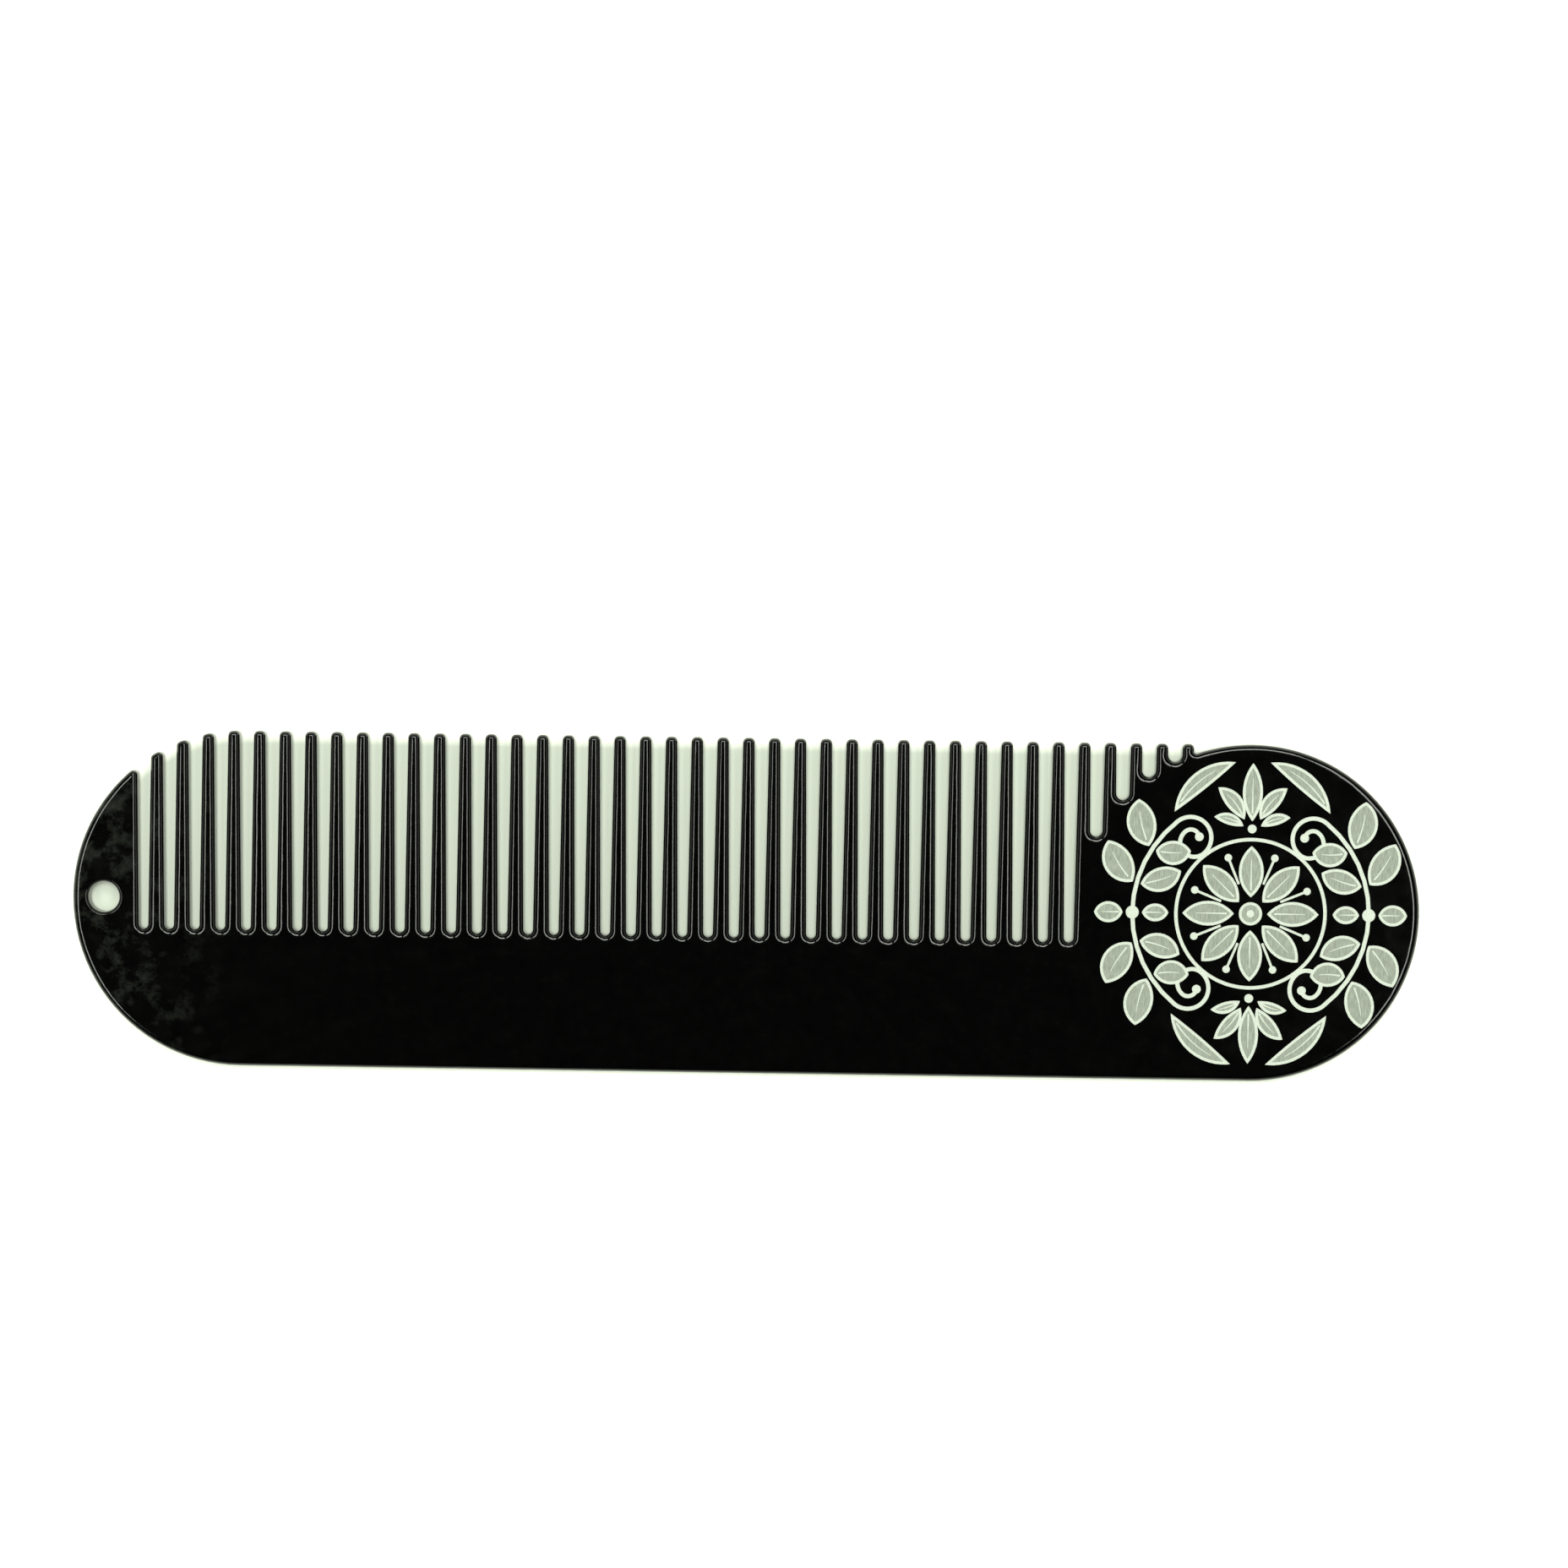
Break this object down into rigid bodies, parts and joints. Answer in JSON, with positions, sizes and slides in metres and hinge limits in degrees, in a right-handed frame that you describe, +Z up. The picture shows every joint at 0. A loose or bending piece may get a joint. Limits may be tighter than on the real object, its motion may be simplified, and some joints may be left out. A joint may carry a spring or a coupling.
{
  "type": "beard comb",
  "caption": "Flat powder-coated metal beard comb with round ends, fine teeth along one edge, a hanging hole and a round engraved emblem.",
  "frame": {"origin": "middle of the comb's underside, lying flat", "axes": "+X along the comb from the hanging hole to the emblem, +Y from the spine to the teeth's tips, +Z up through the thickness and out of the emblem's face"},
  "size_m": [0.127, 0.0318, 0.002],
  "materials": {
    "bare_steel": "laser-marked satin",
    "black_coat": "gloss powder coat"
  },
  "bodies": {
    "root": {"end_guard": "bare_steel", "spine": "bare_steel", "head": "bare_steel", "teeth": "bare_steel", "powder_coat": "black_coat"}
  },
  "joints": []
}
